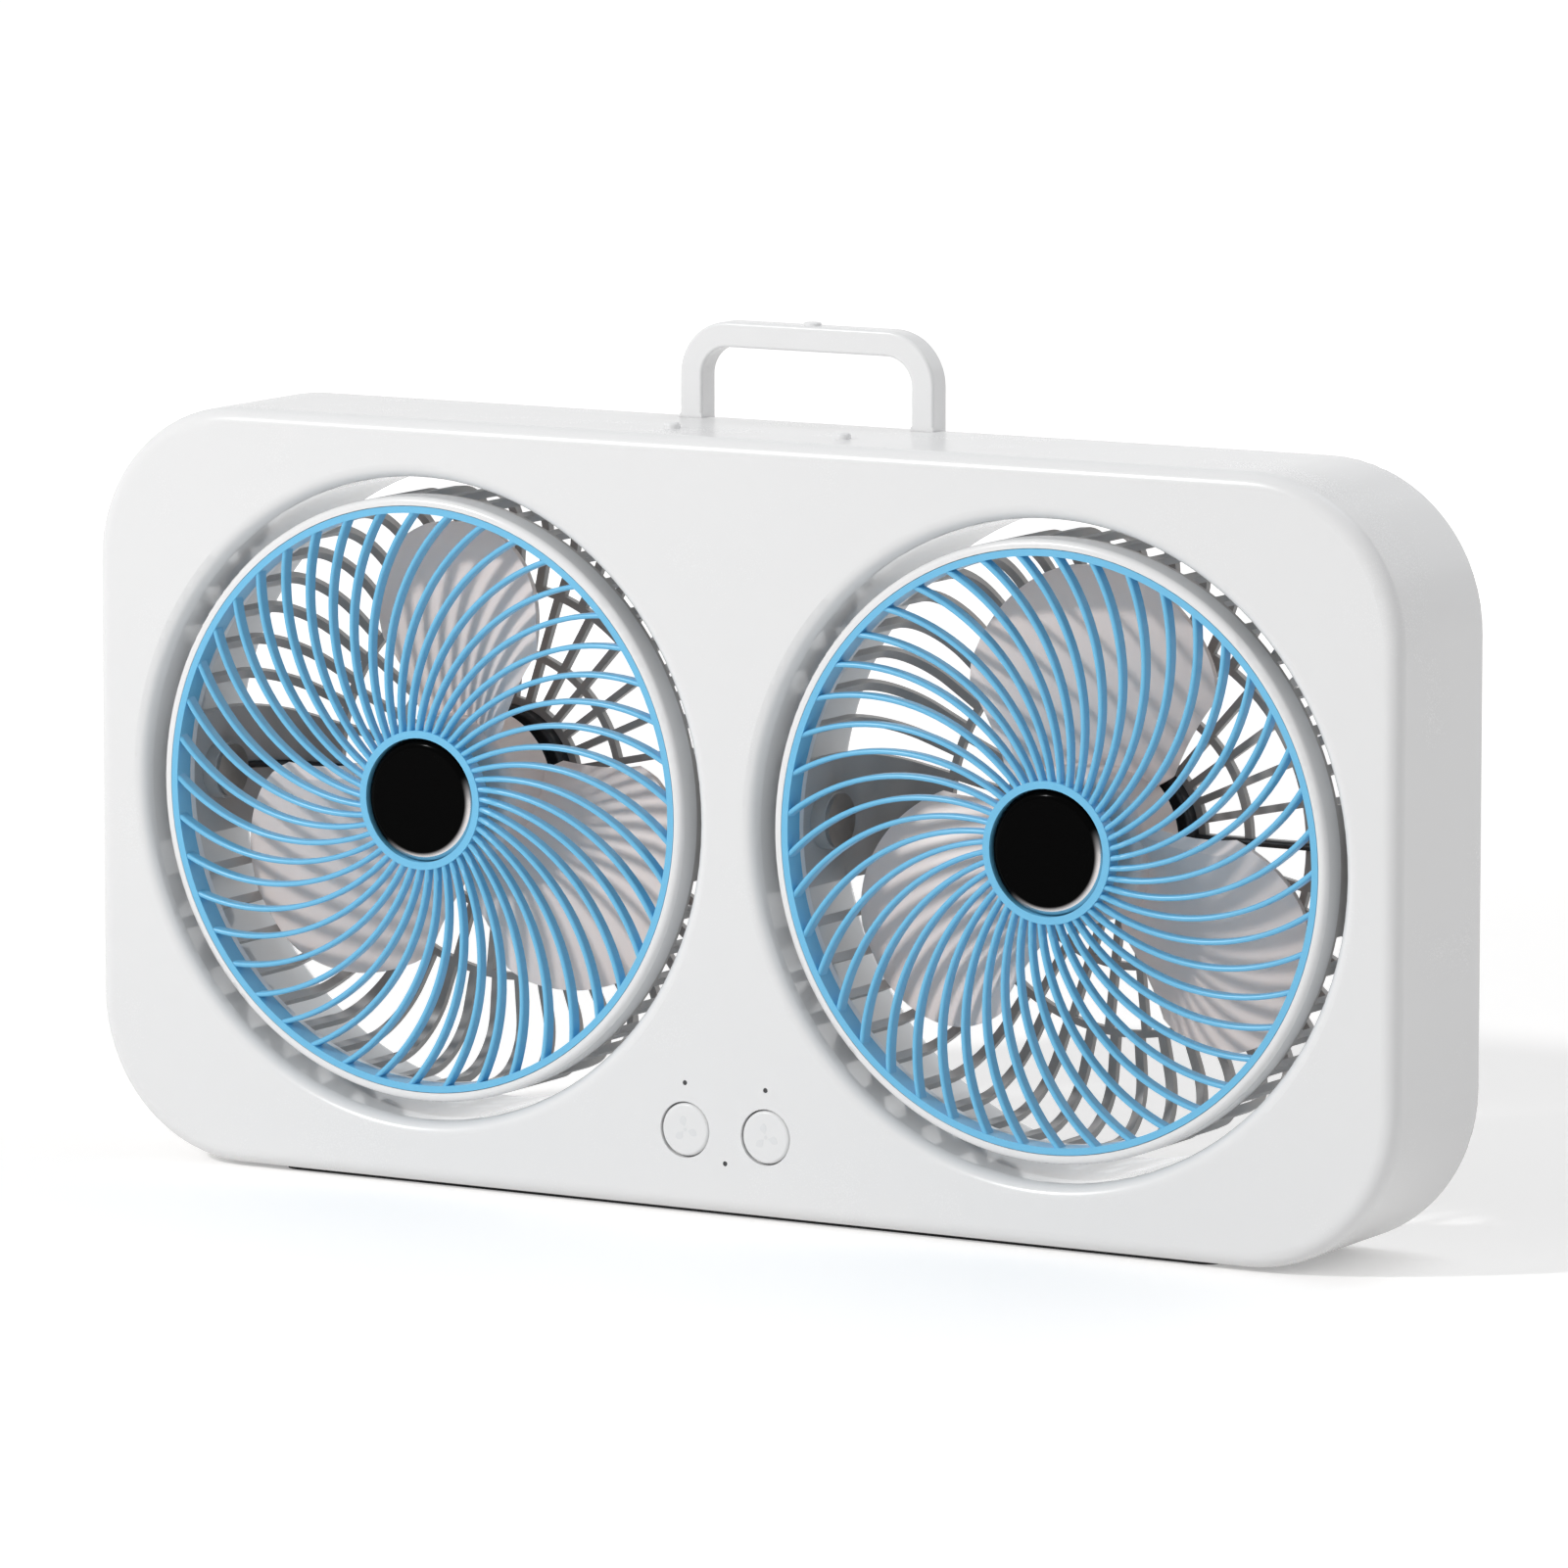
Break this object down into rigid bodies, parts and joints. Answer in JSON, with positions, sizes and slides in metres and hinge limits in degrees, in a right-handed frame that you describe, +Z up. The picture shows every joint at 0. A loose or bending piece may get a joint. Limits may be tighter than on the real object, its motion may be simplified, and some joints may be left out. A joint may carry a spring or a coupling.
{
  "type": "desk fan",
  "caption": "Slim dual-head desk fan: a rounded white casing holds two tilting round heads with spiral blue grilles, push buttons low in front and a carry handle on top.",
  "frame": {"origin": "middle of the box around the part, on the surface that its feet stand on", "axes": "+X from the left head to the right head as seen from the front, +Y towards the back, +Z up"},
  "size_m": [0.365, 0.046, 0.2158],
  "materials": {
    "case_white": "smooth satin white moulding",
    "guard_white": "satin pale grey moulding",
    "grille_blue": "satin sky blue moulding",
    "cap_black": "high gloss black",
    "impeller_smoke": "pale rose grey, slightly milky",
    "motor_black": "satin black coating",
    "black_plastic": "fine matt texture",
    "steel": "turned and zinc plated",
    "nickel": "nickel plated sheet",
    "rubber": "dull soft rubber",
    "board_green": "solder-masked glass fibre board",
    "cell_wrap": "shrink-wrapped cell",
    "lead_black": "soft insulation",
    "lens_dark": "dark clear lens"
  },
  "bodies": {
    "casing": {"front_shell": "case_white", "rear_cover": "case_white", "shell_screws": "steel", "rubber_feet": "rubber", "carry_handle": "case_white", "handle_screws": "steel", "top_pegs": "case_white", "pivot_bushes": "black_plastic", "button_switches": "black_plastic", "light_pipes": "lens_dark", "control_board": "board_green", "battery_cell": "cell_wrap", "battery_clips": "nickel", "charge_port": "nickel", "port_board": "board_green", "casing_leads": "lead_black"},
    "left_head": {"left_front_ring": "case_white", "left_grille": "grille_blue", "left_hub_cap": "cap_black", "left_guard": "guard_white", "left_motor": "motor_black", "left_motor_screws": "steel", "left_motor_lead": "lead_black", "left_pivots": "steel", "left_pivot_washers": "rubber", "left_pivot_clips": "steel"},
    "right_head": {"right_front_ring": "case_white", "right_grille": "grille_blue", "right_hub_cap": "cap_black", "right_guard": "guard_white", "right_motor": "motor_black", "right_motor_screws": "steel", "right_motor_lead": "lead_black", "right_pivots": "steel", "right_pivot_washers": "rubber", "right_pivot_clips": "steel"},
    "left_rotor": {"left_impeller": "impeller_smoke", "left_motor_shaft": "steel"},
    "right_rotor": {"right_impeller": "impeller_smoke", "right_motor_shaft": "steel"},
    "left_button": {"left_button": "case_white"},
    "right_button": {"right_button": "case_white"}
  },
  "joints": [
    {"name": "left_head_tilt", "type": "hinge", "parent": "casing", "child": "left_head", "pos_m": [-0.0881, 0, 0.0966], "axis": [1, 0, 0], "range_deg": [-90, 90]},
    {"name": "left_impeller_spin", "type": "hinge", "parent": "left_head", "child": "left_rotor", "pos_m": [-0.0881, 0, 0.0966], "axis": [0, -1, 0], "continuous": true},
    {"name": "left_button_press", "type": "slide", "parent": "casing", "child": "left_button", "axis": [0, 1, 0], "range_m": [0, 0.001], "stiffness_N_per_m": 400, "springref_m": -0.002},
    {"name": "right_head_tilt", "type": "hinge", "parent": "casing", "child": "right_head", "pos_m": [0.0881, 0, 0.0966], "axis": [1, 0, 0], "range_deg": [-90, 90]},
    {"name": "right_impeller_spin", "type": "hinge", "parent": "right_head", "child": "right_rotor", "pos_m": [0.0881, 0, 0.0966], "axis": [0, -1, 0], "continuous": true},
    {"name": "right_button_press", "type": "slide", "parent": "casing", "child": "right_button", "axis": [0, 1, 0], "range_m": [0, 0.001], "stiffness_N_per_m": 400, "springref_m": -0.002}
  ]
}
